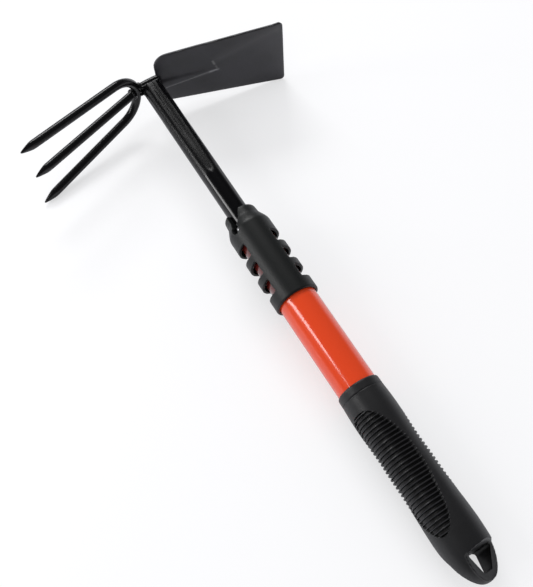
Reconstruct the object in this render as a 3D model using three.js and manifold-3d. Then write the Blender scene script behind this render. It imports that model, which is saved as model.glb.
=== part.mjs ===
// Double hoe: a garden hand tool with a stamped hoe blade on one side of its head and tines on the other.
// Millimetres. The tool is drawn along +X, from the butt of the grip at x = 0 to the head. The tines reach
// towards +Y, the blade towards -Y, and Z runs across the blade. At the end the whole tool is laid down on
// the ground as it comes to rest: on its lower tine, the blade's lower corner and the heel of the grip.
import * as THREE from 'three';
import { mergeVertices } from 'three/addons/utils/BufferGeometryUtils.js';
import Module from 'manifold-3d';

const wasm = await Module();
wasm.setup();

// Fits shared by all pieces
const seatGap = 0.3;            // between two pieces that touch
const cutOverrun = 5;           // how far a cutter reaches past the material it cuts
const edgeShare = 0.3;          // bevel standing for a rounded edge, of the round's radius
const mergeDistance = 1e-4;     // points closer than this are one
const roundSegments = 48;
const gripSegments = 36;
const rodSegments = 20;

// Lengths along the tool
const gripLength = 126.4;
const tubeExposed = 66.4;
const collarLength = 72;
const shankExposed = 124;

// Handle tube
const tubeRadius = 12.5;
const tubeWall = 1.2;
const tubeButtInset = 32;       // butt of the grip to the tube's rear end
const tubeInCollar = 52.7;      // how far the tube reaches into the collar

// Shank tube with its pressed flute
const shankRadius = 7.35;
const shankWall = 1.3;
const shankInsert = 40;         // how far the shank reaches in from the collar's nose
const fluteDepth = 2.2;
const fluteRadius = 2.8;
const fluteLength = 89.5;

// Reducer bush between the two tubes
const bushLength = 24;
const bushFlange = 1.5;

// Grip
const gripFrontRadius = 13.65;
const gripShoulderRadius = 14.1;
const gripWaistRadius = 13.7;
const gripPalmRadius = 13.9;
const gripHeelRadius = 14.6;
const gripTailRadius = 14.2;
const gripSwellShares = [0.85, 0.67, 0.56, 0.41, 0.25];  // places of the swells, of the grip's length
const gripRim = 5.6;            // plain band at the grip's front
const gripRimGroove = 0.25;
const gripEdgeRound = 0.9;
const gripTurn = THREE.MathUtils.degToRad(38);  // of the loop's flats, from Z towards the blade side
const panelRecess = 0.05;       // of the ribs' crests
const ribPitch = 2.5;
const ribDepth = 0.5;
const ridgeHalfWidth = 4;       // least half width left between the two panels
const panelSetback = 15.9;      // smooth part of the grip ahead of the ribbed panel
const panelFront = gripLength - panelSetback;
const panelWidest = 71;
const panelRear = 30.5;
const panelHalfWidth = 13.25;
const panelFrontPower = 3;
const panelRearPower = 3;
const panelSteps = 12;
const bodySteps = 18;

// Hang loop at the butt of the grip
const loopLength = 19;
const loopHalfWidth = 14;
const loopTipThickness = 4;     // between the flats at the butt, where they are closest
const loopThickness = 13.2;     // between the flats at their far end
const loopFlat = 17.6;          // length of the flats
const loopShoulderRun = 2.6;
const loopBackRun = 26;         // of the gentler shoulder on the other side
const loopSteps = 10;
const holeTip = 5;              // from the butt to the narrow end of the hang hole
const holeTipHalfWidth = 3.6;
const holeBase = 17.2;
const holeHalfWidth = 11;
const holeCorner = 1.6;

// Collar
const collarRadius = 14.6;
const collarStraight = 58.4;    // length of the collar's straight part
const collarNoseRadius = 11.1;
const collarConeEnd = 66;
const collarConeRadius = 11.6;
const collarConeSwell = 0.4;
const collarEdgeRound = 1.2;
const gillPitch = 14.5;
const gillCount = 3;
const gillFirst = 13.3;         // from the collar's rear to the middle of the rearmost gill
const gillWaist = 4.3;
const gillMouth = 9.5;
const gillHalfSpan = 11;
const gillFloor = 6;            // height over the tool's axis where the gill cutters start
const gillTurn = THREE.MathUtils.degToRad(-6);  // of the two rows of gills, about the tool's axis
const noseNotchStart = 2.8;     // from the rivet's middle
const noseNotchRoot = 2.7;      // half width of the notch beside the rivet
const noseNotchMouth = 6.5;     // half width of the notch at the collar's nose

// Rivet in the collar's nose
const rivetFromNose = 13.5;
const rivetHeadRadius = 2.4;
const rivetHeadHeight = 1.4;
const rivetDomeShares = [[0.55, 0.87], [0.9, 0.5]];  // height and radius of the head's dome, from its seat
const rivetStemRadius = 1.5;
const rivetTailRadius = 2.1;
const rivetTailLength = 1.5;
const rivetSeat = 1.2;          // web under the rivet's head
const rivetCounterbore = 2.9;
const rivetTurn = THREE.MathUtils.degToRad(45); // from Z towards the tine side

// Head
const rodRadius = 3.05;
const saddleDepth = 0.45;       // how far the neck rod sinks into the shank's end
const neckReach = 29;           // axis to the end of the neck rod, along the blade
const neckTipShare = 0.7;
const tineTilt = THREE.MathUtils.degToRad(17.4);
const tineHubX = 5.1;           // of the tines' plane at the tool's axis, past the shank's end
const tineSplay = THREE.MathUtils.degToRad(7.4);
const tineReach = 107;          // axis to tip, along the tines' plane
const tineTipSpread = 29.4;     // of an outer tip, from the middle
const bowReach = 11.2;          // axis to the bow of the U, along the tines' plane
const bowBendRadius = 19;
const tineTaper = 9;
const tineForged = 14;
const tineForgedWidth = 3.35;
const tineForgedThickness = 2.7;
const tineTipRadius = 0.5;
const centreTineReach = 104.8;
const centreTineShift = 0.5;     // of the centre tine towards the lower one
const bendSteps = 10;

// Hoe blade
const bladeTilt = THREE.MathUtils.degToRad(15.4);
const bladeHubX = 2.9;          // of the blade's middle plane at the tool's axis, past the shank's end
const bladeRoot = 5.6;          // axis to the root edge, along the blade
const bladeReach = 97.4;        // axis to the cutting edge, along the blade
const bladeRootHalfWidth = 22.6;
const bladeRootShift = 1.2;     // of the root edge's middle, towards the upper side
const bladeEdgeHalfWidth = 29;
const bladeThickness = 2;
const bladeRootCorner = 10.5;
const bladeEdgeCorner = 3;
const bladeBevel = 5;
const bladeEdgeThickness = 0.6;
const ribHeight = 2.3;
const ribHalfWidth = 6.8;
const ribTip = 50;              // axis to the tip of the rib, along the blade
const ribTipBlunt = 0.5;
const notchHalfWidth = 5.8;     // of the blade's notch round the shank's end
const notchReach = 9;

// Weld
const weldThickness = 4.5;
const weldLength = 6.4;
const weldWidth = 5.4;

// Places worked out from the sizes above
const collarRear = gripLength + tubeExposed;
const collarNose = collarRear + collarLength;
const tubeRear = tubeButtInset;
const tubeFront = collarRear + tubeInCollar;
const shankRear = collarNose - shankInsert;
const shankEnd = collarNose + shankExposed;
const neckX = shankEnd + rodRadius - saddleDepth;
const tubeBore = tubeRadius - tubeWall;
const shankBore = shankRadius - shankWall;

const materials = {
  grip: new THREE.MeshStandardMaterial({ color: 0x232325, roughness: 0.62, metalness: 0 }),
  orange: new THREE.MeshStandardMaterial({ color: 0xe2491f, roughness: 0.28, metalness: 0 }),
  collar: new THREE.MeshStandardMaterial({ color: 0x2c2f2f, roughness: 0.6, metalness: 0 }),
  bush: new THREE.MeshStandardMaterial({ color: 0x1b1b1c, roughness: 0.6, metalness: 0 }),
  blackPaint: new THREE.MeshStandardMaterial({ color: 0x161618, roughness: 0.25, metalness: 0.1 }),
  bladePaint: new THREE.MeshStandardMaterial({ color: 0x2e2d31, roughness: 0.38, metalness: 0.1 }),
  rivet: new THREE.MeshStandardMaterial({ color: 0x77777c, roughness: 0.3, metalness: 0.9 }),
};

// Solids and booleans

function toSolid(geometry) {
  const plain = geometry.clone();
  for (const name of Object.keys(plain.attributes)) {
    if (name !== 'position') plain.deleteAttribute(name);
  }
  const merged = mergeVertices(plain, mergeDistance);
  return new wasm.Manifold(new wasm.Mesh({
    numProp: 3,
    vertProperties: new Float32Array(merged.attributes.position.array),
    triVerts: new Uint32Array(merged.index.array),
  }));
}

function toGeometry(solid) {
  const data = solid.getMesh();
  const geometry = new THREE.BufferGeometry();
  geometry.setAttribute('position', new THREE.BufferAttribute(new Float32Array(data.vertProperties), 3));
  geometry.setIndex(new THREE.BufferAttribute(new Uint32Array(data.triVerts), 1));
  geometry.computeVertexNormals();
  return geometry;
}

function mesh(name, geometry, material) {
  const piece = new THREE.Mesh(geometry, material);
  piece.name = name;
  return piece;
}

// A revolved solid along X. Its [x, radius] points run over the outside from low x to high x, and they start
// and end on the axis or close on themselves
function turned(points, segments = roundSegments) {
  const profile = points.map(([x, radius]) => new THREE.Vector2(radius, x));
  const geometry = new THREE.LatheGeometry(profile, segments);
  geometry.rotateZ(-Math.PI / 2);
  return geometry;
}

function turnedTube(start, end, inner, outer) {
  return turned([[start, inner], [start, outer], [end, outer], [end, inner], [start, inner]]);
}

function rod(start, end, radius, segments = roundSegments) {
  return turned([[start, 0], [start, radius], [end, radius], [end, 0]], segments);
}

// An outline in X and a side direction, extruded along the third direction from low to high
function slab(outline, low, high, frame) {
  const geometry = new THREE.ExtrudeGeometry(outline, { depth: high - low, bevelEnabled: false });
  geometry.translate(0, 0, low);
  geometry.applyMatrix4(frame);
  return geometry;
}

// X stays along the tool; the outline's second axis and the extrusion turn about it
function aboutAxis(angle) {
  return new THREE.Matrix4().makeRotationX(angle);
}

// Rings of equal point counts joined into one closed skin, with a fan over each end
function loft(rings) {
  const sides = rings[0].length;
  const positions = [];
  const index = [];
  for (const ring of rings) {
    for (const point of ring) positions.push(point.x, point.y, point.z);
  }
  for (let i = 0; i + 1 < rings.length; i += 1) {
    for (let j = 0; j < sides; j += 1) {
      const a = i * sides + j;
      const b = i * sides + (j + 1) % sides;
      index.push(a, b, a + sides, b, b + sides, a + sides);
    }
  }
  for (const [ringIndex, flip] of [[0, true], [rings.length - 1, false]]) {
    const centre = new THREE.Vector3();
    for (const point of rings[ringIndex]) centre.add(point);
    centre.divideScalar(sides);
    const centreIndex = positions.length / 3;
    positions.push(centre.x, centre.y, centre.z);
    for (let j = 0; j < sides; j += 1) {
      const a = ringIndex * sides + j;
      const b = ringIndex * sides + (j + 1) % sides;
      if (flip) index.push(centreIndex, b, a);
      else index.push(centreIndex, a, b);
    }
  }
  const geometry = new THREE.BufferGeometry();
  geometry.setAttribute('position', new THREE.Float32BufferAttribute(positions, 3));
  geometry.setIndex(index);
  geometry.computeVertexNormals();
  return geometry;
}

// A rod through stations in its own XY plane: x, y, heading, half width in the plane and half thickness
function rodThrough(stations) {
  const rings = stations.map(({ x, y, heading, width, thickness }) => {
    const ring = [];
    for (let j = 0; j < rodSegments; j += 1) {
      const angle = (j / rodSegments) * Math.PI * 2;
      const side = Math.cos(angle) * width;
      ring.push(new THREE.Vector3(
        x - Math.sin(heading) * side,
        y + Math.cos(heading) * side,
        Math.sin(angle) * thickness,
      ));
    }
    return ring;
  });
  return loft(rings);
}

// Grip

// Outside of the grip's body from its rim back to the loop
function gripBody() {
  const radii = [gripShoulderRadius, gripWaistRadius, gripPalmRadius, gripPalmRadius, gripHeelRadius];
  const stations = [
    new THREE.Vector2(gripLength - gripRim, gripFrontRadius),
    ...radii.map((radius, i) => new THREE.Vector2(gripLength * gripSwellShares[i], radius)),
    new THREE.Vector2(loopLength, gripTailRadius),
  ];
  return new THREE.SplineCurve(stations).getPoints(bodySteps).map((point) => [point.x, point.y]);
}

// A core with the ribs all round it, which the two panels are cut down to
function ribProfile() {
  const body = gripBody().reverse();
  const radiusAt = (x) => {
    const next = body.findIndex(([place]) => place > x);
    const [x0, radius0] = body[next - 1];
    const [x1, radius1] = body[next];
    return radius0 + ((radius1 - radius0) * (x - x0)) / (x1 - x0) - panelRecess;
  };
  const panelLength = panelFront - panelRear;
  const halves = Math.round(panelLength / ribPitch) * 2;
  const ribs = [];
  for (let i = 0; i <= halves; i += 1) {
    const x = panelRear + (panelLength * i) / halves;
    const isCrest = i % 2 === 1;
    ribs.push([x, radiusAt(x) - (isCrest ? 0 : ribDepth)]);
  }
  const rear = panelRear - cutOverrun;
  const front = panelFront + cutOverrun;
  const floor = [rear, radiusAt(rear) - ribDepth];
  return [[rear, 0], floor, ...ribs, [front, radiusAt(front) - ribDepth], [front, 0]];
}

function gripProfile() {
  const front = [
    [gripLength, 0],
    [gripLength, gripFrontRadius - gripEdgeRound],
    [gripLength - gripEdgeRound * edgeShare, gripFrontRadius - gripEdgeRound * edgeShare],
    [gripLength - gripEdgeRound, gripFrontRadius],
    [gripLength - gripRim + gripRimGroove * 2, gripFrontRadius],
    [gripLength - gripRim + gripRimGroove, gripFrontRadius - gripRimGroove],
  ];
  const end = [];
  const firstAngle = Math.asin(1 - loopFlat / loopLength);
  for (let i = 0; i < loopSteps; i += 1) {
    const angle = firstAngle + (i / loopSteps) * (Math.PI / 2 - firstAngle);
    end.push([loopLength * (1 - Math.sin(angle)), loopHalfWidth * Math.cos(angle)]);
  }
  end.push([0, 0]);
  return [...front, ...gripBody(), ...end].reverse();
}

// Half width of the ribbed panel's leaf outline at a place along the grip
function panelHalf(x) {
  const forward = x > panelWidest;
  const reach = forward ? panelFront - panelWidest : panelWidest - panelRear;
  const power = forward ? panelFrontPower : panelRearPower;
  const share = Math.min(1, Math.abs(x - panelWidest) / reach);
  return panelHalfWidth * (1 - share ** power) ** (1 / power);
}

function panelOutline() {
  const outline = new THREE.Shape();
  const points = [];
  for (let i = 0; i <= panelSteps; i += 1) {
    const angle = (i / panelSteps) * Math.PI;
    const half = Math.cos(angle) > 0 ? panelFront - panelWidest : panelWidest - panelRear;
    points.push(panelWidest + Math.cos(angle) * half);
  }
  outline.moveTo(points[0], 0);
  for (const x of points.slice(1, -1)) outline.lineTo(x, panelHalf(x));
  outline.lineTo(points[panelSteps], 0);
  for (const x of points.slice(1, -1).reverse()) outline.lineTo(x, -panelHalf(x));
  return outline;
}

function holeOutline() {
  const corners = [
    new THREE.Vector2(holeTip, holeTipHalfWidth),
    new THREE.Vector2(holeBase, holeHalfWidth),
    new THREE.Vector2(holeBase, -holeHalfWidth),
    new THREE.Vector2(holeTip, -holeTipHalfWidth),
  ];
  return roundedShape(corners, corners.map(() => holeCorner));
}

// A closed outline with each corner rounded by its own radius
function roundedShape(corners, radii) {
  const outline = new THREE.Shape();
  const steps = 5;
  const points = [];
  corners.forEach((corner, i) => {
    const before = corners[(i + corners.length - 1) % corners.length];
    const after = corners[(i + 1) % corners.length];
    const toBefore = before.clone().sub(corner).normalize();
    const toAfter = after.clone().sub(corner).normalize();
    const halfAngle = Math.acos(toBefore.dot(toAfter)) / 2;
    const run = radii[i] / Math.tan(halfAngle);
    const centre = corner.clone().add(
      toBefore.clone().add(toAfter).normalize().multiplyScalar(radii[i] / Math.sin(halfAngle)),
    );
    const start = corner.clone().add(toBefore.multiplyScalar(run)).sub(centre);
    const end = corner.clone().add(toAfter.multiplyScalar(run)).sub(centre);
    const sweep = Math.atan2(start.cross(end), start.dot(end));
    for (let k = 0; k <= steps; k += 1) {
      const turn = start.clone().rotateAround(new THREE.Vector2(), (sweep * k) / steps);
      points.push(turn.add(centre));
    }
  });
  outline.moveTo(points[0].x, points[0].y);
  for (const point of points.slice(1)) outline.lineTo(point.x, point.y);
  outline.closePath();
  return outline;
}

function makeGrip() {
  // The loop's flats face this way, turned from Z towards the blade side
  const flats = aboutAxis(gripTurn);
  const panels = aboutAxis(gripTurn - Math.PI / 2);
  const reach = gripHeelRadius + cutOverrun;
  const half = loopThickness / 2;
  const tipHalf = loopTipThickness / 2;
  const side = new THREE.Shape([
    new THREE.Vector2(-cutOverrun, -tipHalf),
    new THREE.Vector2(0, -tipHalf),
    new THREE.Vector2(loopFlat, -half),
    new THREE.Vector2(loopFlat + loopBackRun, -reach),
    new THREE.Vector2(gripLength + cutOverrun, -reach),
    new THREE.Vector2(gripLength + cutOverrun, reach),
    new THREE.Vector2(loopFlat + loopShoulderRun, reach),
    new THREE.Vector2(loopFlat, half),
    new THREE.Vector2(0, tipHalf),
    new THREE.Vector2(-cutOverrun, tipHalf),
  ]);
  let solid = toSolid(turned(gripProfile(), gripSegments));
  solid = solid.intersect(toSolid(slab(side, -reach, reach, flats.clone().multiply(aboutAxis(Math.PI / 2)))));
  solid = solid.subtract(toSolid(slab(holeOutline(), -reach, reach, flats)));
  const core = toSolid(turned(ribProfile(), gripSegments));
  for (const [low, high] of [[ridgeHalfWidth, reach], [-reach, -ridgeHalfWidth]]) {
    const leaf = toSolid(slab(panelOutline(), low, high, panels));
    solid = solid.subtract(leaf.subtract(core));
  }
  solid = solid.subtract(toSolid(rod(tubeRear - seatGap, gripLength + cutOverrun, tubeRadius + seatGap)));
  return toGeometry(solid);
}

// Tubes and bush

function makeShank() {
  const fluteStart = shankEnd - fluteLength;
  const flute = (radius) => {
    const geometry = new THREE.CapsuleGeometry(radius, fluteLength + cutOverrun * 2, 6, 16);
    geometry.rotateZ(-Math.PI / 2);
    geometry.translate(
      fluteStart + fluteRadius + (fluteLength + cutOverrun * 2) / 2,
      0,
      shankRadius - fluteDepth + fluteRadius,
    );
    return toSolid(geometry);
  };
  const outside = toSolid(rod(shankRear, shankEnd, shankRadius, 32)).subtract(flute(fluteRadius));
  const inside = toSolid(rod(shankRear - cutOverrun, shankEnd + cutOverrun, shankBore, 32))
    .subtract(flute(fluteRadius + shankWall));
  const saddle = new THREE.CylinderGeometry(
    rodRadius + seatGap, rodRadius + seatGap, (shankRadius + cutOverrun) * 2, 24,
  );
  saddle.translate(neckX, 0, 0);
  const rivetHole = rivetShape([[0, 0], [0, rivetStemRadius + seatGap],
    [collarRadius, rivetStemRadius + seatGap], [collarRadius, 0]]);
  return toGeometry(outside.subtract(inside).subtract(toSolid(saddle)).subtract(toSolid(rivetHole)));
}

function makeBush() {
  const inner = shankRadius + seatGap;
  const outer = tubeBore - seatGap;
  const front = tubeFront + seatGap + bushFlange;
  return turned([
    [front - bushLength, inner],
    [front - bushLength, outer],
    [tubeFront + seatGap, outer],
    [tubeFront + seatGap, tubeRadius],
    [front, tubeRadius],
    [front, inner],
    [front - bushLength, inner],
  ]);
}

// Collar and its rivet

// Turned about the rivet's own axis from [height over the tool's axis, radius] points
function rivetShape(points) {
  const geometry = turned(points, 20);
  geometry.rotateY(-Math.PI / 2);
  geometry.translate(collarNose - rivetFromNose, 0, 0);
  geometry.rotateX(-rivetTurn);
  return geometry;
}

// Narrow at its middle and wide at both ends
function gillOutline(middle) {
  const reach = gillHalfSpan;
  return new THREE.Shape([
    new THREE.Vector2(middle - gillMouth / 2, -reach),
    new THREE.Vector2(middle + gillMouth / 2, -reach),
    new THREE.Vector2(middle + gillWaist / 2, 0),
    new THREE.Vector2(middle + gillMouth / 2, reach),
    new THREE.Vector2(middle - gillMouth / 2, reach),
    new THREE.Vector2(middle - gillWaist / 2, 0),
  ]);
}

function makeCollar() {
  const boreFront = tubeFront + bushFlange + seatGap * 2;
  const coneMiddle = collarRear + (collarConeEnd + collarStraight) / 2;
  let solid = toSolid(turned([
    [collarNose, 0],
    [collarNose, collarNoseRadius - collarEdgeRound],
    [collarNose - collarEdgeRound * edgeShare, collarNoseRadius - collarEdgeRound * edgeShare],
    [collarNose - collarEdgeRound, collarNoseRadius],
    [collarRear + collarConeEnd, collarConeRadius],
    [coneMiddle, (collarConeRadius + collarRadius) / 2 + collarConeSwell],
    [collarRear + collarStraight, collarRadius],
    [collarRear, collarRadius],
    [collarRear, 0],
  ].reverse()));
  solid = solid.subtract(toSolid(rod(collarRear - cutOverrun, boreFront, tubeRadius + seatGap)));
  solid = solid.subtract(toSolid(rod(collarRear, collarNose + cutOverrun, shankRadius + seatGap)));
  for (const side of [0, Math.PI]) {
    for (let i = 0; i < gillCount; i += 1) {
      const outline = gillOutline(collarRear + gillFirst + i * gillPitch);
      const frame = aboutAxis(Math.PI / 2 + side + gillTurn);
      solid = solid.subtract(toSolid(slab(outline, gillFloor, collarRadius + cutOverrun, frame)));
    }
  }
  const root = collarNose - rivetFromNose + noseNotchStart;
  const notch = new THREE.Shape([
    new THREE.Vector2(root, -noseNotchRoot),
    new THREE.Vector2(collarNose, -noseNotchMouth),
    new THREE.Vector2(collarNose + cutOverrun, -noseNotchMouth),
    new THREE.Vector2(collarNose + cutOverrun, noseNotchMouth),
    new THREE.Vector2(collarNose, noseNotchMouth),
    new THREE.Vector2(root, noseNotchRoot),
  ]);
  solid = solid.subtract(toSolid(slab(notch, 0, collarRadius, aboutAxis(-rivetTurn))));
  const seat = shankRadius + seatGap + rivetSeat;
  solid = solid.subtract(toSolid(rivetShape([
    [0, 0], [0, rivetStemRadius + seatGap], [seat, rivetStemRadius + seatGap],
    [seat, rivetCounterbore], [collarRadius + cutOverrun, rivetCounterbore], [collarRadius + cutOverrun, 0],
  ])));
  return toGeometry(solid);
}

function makeRivet() {
  const seat = shankRadius + seatGap * 2 + rivetSeat;
  const tail = Math.sqrt(shankBore ** 2 - rivetTailRadius ** 2) - seatGap;
  return rivetShape([
    [tail - rivetTailLength, 0],
    [tail - rivetTailLength, rivetTailRadius],
    [tail, rivetTailRadius],
    [tail, rivetStemRadius],
    [seat, rivetStemRadius],
    [seat, rivetHeadRadius],
    ...rivetDomeShares.map(([up, out]) => [seat + rivetHeadHeight * up, rivetHeadRadius * out]),
    [seat + rivetHeadHeight, 0],
  ]);
}

// Head, drawn in two slanted planes that meet near the shank's end. In each, x runs outwards from the
// tool's axis and y runs across the blade

function headPlane(hubX, tilt, side) {
  const outwards = new THREE.Vector3(-Math.sin(tilt), side * Math.cos(tilt), 0);
  const across = new THREE.Vector3(0, 0, 1);
  const normal = outwards.clone().cross(across);
  return new THREE.Matrix4().makeBasis(outwards, across, normal).setPosition(shankEnd + hubX, 0, 0);
}

const tinePlane = headPlane(tineHubX, tineTilt, 1);
const bladePlane = headPlane(bladeHubX, bladeTilt, -1);

// Stations of a forged point at the start of a rod that runs on in the direction of heading
function forgedPoint(tipX, tipY, heading) {
  const stages = [
    [0, tineTipRadius, tineTipRadius],
    [tineTaper, tineForgedWidth, tineForgedThickness],
    [tineForged, rodRadius, rodRadius],
  ];
  return stages.map(([run, width, thickness]) => ({
    x: tipX + Math.cos(heading) * run,
    y: tipY + Math.sin(heading) * run,
    heading,
    width,
    thickness,
  }));
}

// One rod bent to a U: the upper half is drawn from its tip to the bow, and the lower half mirrors it
function outerTineStations() {
  const heading = Math.PI + tineSplay;
  const stations = forgedPoint(tineReach, tineTipSpread, heading);
  const turn = Math.PI / 2 - tineSplay;
  const cornerY = tineTipSpread - (tineReach - bowReach) * Math.tan(tineSplay);
  const radius = Math.min(bowBendRadius, cornerY / Math.tan(turn / 2));
  const centreX = bowReach + radius;
  const centreY = cornerY - radius * Math.tan(turn / 2);
  for (let i = bendSteps; i >= 0; i -= 1) {
    const angle = (turn * i) / bendSteps;
    stations.push({
      x: centreX - Math.cos(angle) * radius,
      y: centreY + Math.sin(angle) * radius,
      heading: Math.PI * 1.5 - angle,
      width: rodRadius,
      thickness: rodRadius,
    });
  }
  const lower = stations.map((station) => ({
    ...station,
    y: -station.y,
    heading: Math.PI - station.heading,
  }));
  return [...stations, ...lower.reverse()];
}

function centreTineStations() {
  const root = {
    x: bowReach + rodRadius + seatGap,
    y: -centreTineShift,
    heading: Math.PI,
    width: rodRadius,
    thickness: rodRadius,
  };
  return [...forgedPoint(centreTineReach, -centreTineShift, Math.PI), root];
}

// Share of the rib's full height left at a distance out along the blade
function ribLeft(reach) {
  return (ribTip - reach) / (ribTip - bladeRoot);
}

// Middle of the neck rod where it lies in the rib's hollow, in the tool's own X and Y
function neckInRib(reach) {
  const depth = ribHeight * ribLeft(reach) - bladeThickness / 2 - rodRadius - seatGap;
  return new THREE.Vector3(reach, 0, depth).applyMatrix4(bladePlane);
}

function neckStations() {
  const bow = new THREE.Vector3(bowReach, 0, 0).applyMatrix4(tinePlane);
  const start = new THREE.Vector3(neckX, bow.y - rodRadius - seatGap, 0);
  const bend = neckInRib(notchReach);
  const end = neckInRib(neckReach);
  const firstHeading = Math.atan2(bend.y - start.y, bend.x - start.x);
  const lastHeading = Math.atan2(end.y - bend.y, end.x - bend.x);
  const full = { width: rodRadius, thickness: rodRadius };
  const tip = { width: rodRadius * neckTipShare, thickness: rodRadius * neckTipShare };
  const chamfer = end.clone().lerp(bend, (rodRadius * (1 - neckTipShare)) / end.distanceTo(bend));
  return [
    { x: start.x, y: start.y, heading: firstHeading, ...full },
    { x: bend.x, y: bend.y, heading: (firstHeading + lastHeading) / 2, ...full },
    { x: chamfer.x, y: chamfer.y, heading: lastHeading, ...full },
    { x: end.x, y: end.y, heading: lastHeading, ...tip },
  ];
}

// The round-backed wedge that presses the rib, drawn with its tip on the plate's surface at height
function ribWedge(height) {
  const rootRadius = (ribHalfWidth ** 2 + ribHeight ** 2) / (2 * ribHeight);
  const starts = [bladeRoot - cutOverrun, ribTip - ribTipBlunt];
  const rings = starts.map((reach) => {
    const share = ribLeft(reach);
    const ring = [];
    for (let j = 0; j < roundSegments; j += 1) {
      const angle = (j / roundSegments) * Math.PI * 2;
      ring.push(new THREE.Vector3(
        reach,
        Math.cos(angle) * rootRadius * share,
        height + (ribHeight - rootRadius) * share + Math.sin(angle) * rootRadius * share,
      ));
    }
    return ring;
  });
  return toSolid(loft(rings));
}

function makeBlade() {
  const half = bladeThickness / 2;
  const outline = roundedShape([
    new THREE.Vector2(bladeRoot, bladeRootShift - bladeRootHalfWidth),
    new THREE.Vector2(bladeReach, -bladeEdgeHalfWidth),
    new THREE.Vector2(bladeReach, bladeEdgeHalfWidth),
    new THREE.Vector2(bladeRoot, bladeRootShift + bladeRootHalfWidth),
  ], [bladeRootCorner, bladeEdgeCorner, bladeEdgeCorner, bladeRootCorner]);
  const plate = toSolid(slab(outline, -half, half, new THREE.Matrix4()));
  const above = new THREE.BoxGeometry(bladeReach, bladeEdgeHalfWidth * 2, ribHeight * 2);
  above.translate(bladeRoot + bladeReach / 2, 0, ribHeight);
  let solid = plate.add(ribWedge(half).intersect(toSolid(above))).subtract(ribWedge(-half));
  const notch = new THREE.BoxGeometry(notchReach, notchHalfWidth * 2, (ribHeight + cutOverrun) * 2);
  notch.translate(notchReach / 2, 0, 0);
  solid = solid.subtract(toSolid(notch));
  // The cutting edge is ground from the far side
  const ground = new THREE.Shape([
    new THREE.Vector2(bladeReach - bladeBevel, -half),
    new THREE.Vector2(bladeReach, half - bladeEdgeThickness),
    new THREE.Vector2(bladeReach + cutOverrun, half - bladeEdgeThickness),
    new THREE.Vector2(bladeReach + cutOverrun, -half - cutOverrun),
    new THREE.Vector2(bladeReach - bladeBevel, -half - cutOverrun),
  ]);
  const reach = bladeEdgeHalfWidth + cutOverrun;
  solid = solid.subtract(toSolid(slab(ground, -reach, reach, aboutAxis(Math.PI / 2))));
  return toGeometry(solid);
}

// Weld metal round the crossing of the bow, the centre tine and the neck rod, clear of all of them
function makeWeld() {
  const bow = new THREE.Vector3(bowReach, 0, 0).applyMatrix4(tinePlane);
  const blob = new THREE.SphereGeometry(1, 18, 12);
  blob.scale(weldThickness, weldLength, weldWidth);
  blob.rotateZ(tineTilt);
  blob.translate(bow.x, bow.y, 0);
  const clear = (stations, frame) => {
    const grown = stations.map((station) => ({
      ...station,
      width: station.width + seatGap,
      thickness: station.thickness + seatGap,
    }));
    const geometry = rodThrough(grown);
    geometry.applyMatrix4(frame);
    return toSolid(geometry);
  };
  const tine = centreTineStations();
  tine[tine.length - 1].x -= seatGap * 2;
  const neck = neckStations();
  neck[0].y += seatGap * 2;
  let solid = toSolid(blob);
  solid = solid.subtract(clear(outerTineStations(), tinePlane));
  solid = solid.subtract(clear(tine, tinePlane));
  solid = solid.subtract(clear(neck, new THREE.Matrix4()));
  solid = solid.subtract(toSolid(rod(shankEnd - shankInsert, shankEnd + seatGap, shankRadius + seatGap)));
  return toGeometry(solid);
}

// The tool, and how it lies on the ground

// Turns the tool so that the lowest points of three pieces lie level, and sets its box on the origin
function layDown(tool, supports) {
  tool.updateMatrixWorld(true);
  const corners = supports.map((piece) => {
    const position = piece.geometry.attributes.position;
    const points = [];
    for (let i = 0; i < position.count; i += 1) {
      points.push(new THREE.Vector3().fromBufferAttribute(position, i).applyMatrix4(piece.matrixWorld));
    }
    return points;
  });
  let up = new THREE.Vector3(0, 0, 1);
  const settleRounds = 12;
  for (let i = 0; i < settleRounds; i += 1) {
    const [a, b, c] = corners.map((points) => points.reduce(
      (lowest, point) => (point.dot(up) < lowest.dot(up) ? point : lowest),
    ));
    const normal = b.clone().sub(a).cross(c.clone().sub(a)).normalize();
    up = normal.z < 0 ? normal.negate() : normal;
  }
  const forward = new THREE.Vector3(1, 0, 0);
  forward.addScaledVector(up, -forward.dot(up)).normalize();
  const basis = new THREE.Matrix4().makeBasis(forward, up.clone().cross(forward), up);
  tool.quaternion.setFromRotationMatrix(basis.transpose());
  tool.updateMatrixWorld(true);
  const box = new THREE.Box3().setFromObject(tool, true);
  const centre = box.getCenter(new THREE.Vector3());
  tool.position.set(-centre.x, -centre.y, -box.min.z);
}

const hoeBlade = mesh('hoe_blade', makeBlade(), materials.bladePaint);
const outerTines = mesh('outer_tines', rodThrough(outerTineStations()), materials.blackPaint);
const centreTine = mesh('centre_tine', rodThrough(centreTineStations()), materials.blackPaint);
const grip = mesh('grip', makeGrip(), materials.grip);

const blade = new THREE.Group();
blade.applyMatrix4(bladePlane);
blade.add(hoeBlade);

const tines = new THREE.Group();
tines.applyMatrix4(tinePlane);
tines.add(outerTines, centreTine);

const tool = new THREE.Group();
tool.add(
  grip,
  mesh('handle_tube', turnedTube(tubeRear, tubeFront, tubeBore, tubeRadius), materials.orange),
  mesh('reducer_bush', makeBush(), materials.bush),
  mesh('collar', makeCollar(), materials.collar),
  mesh('collar_rivet', makeRivet(), materials.rivet),
  mesh('shank_tube', makeShank(), materials.blackPaint),
  mesh('neck_rod', rodThrough(neckStations()), materials.blackPaint),
  mesh('head_weld', makeWeld(), materials.blackPaint),
  blade,
  tines,
);
layDown(tool, [outerTines, hoeBlade, grip]);

export default tool;
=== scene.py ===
import bisect
import math

import bmesh
import bpy
from mathutils import Matrix, Vector, noise
from mathutils.geometry import delaunay_2d_cdt


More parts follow.
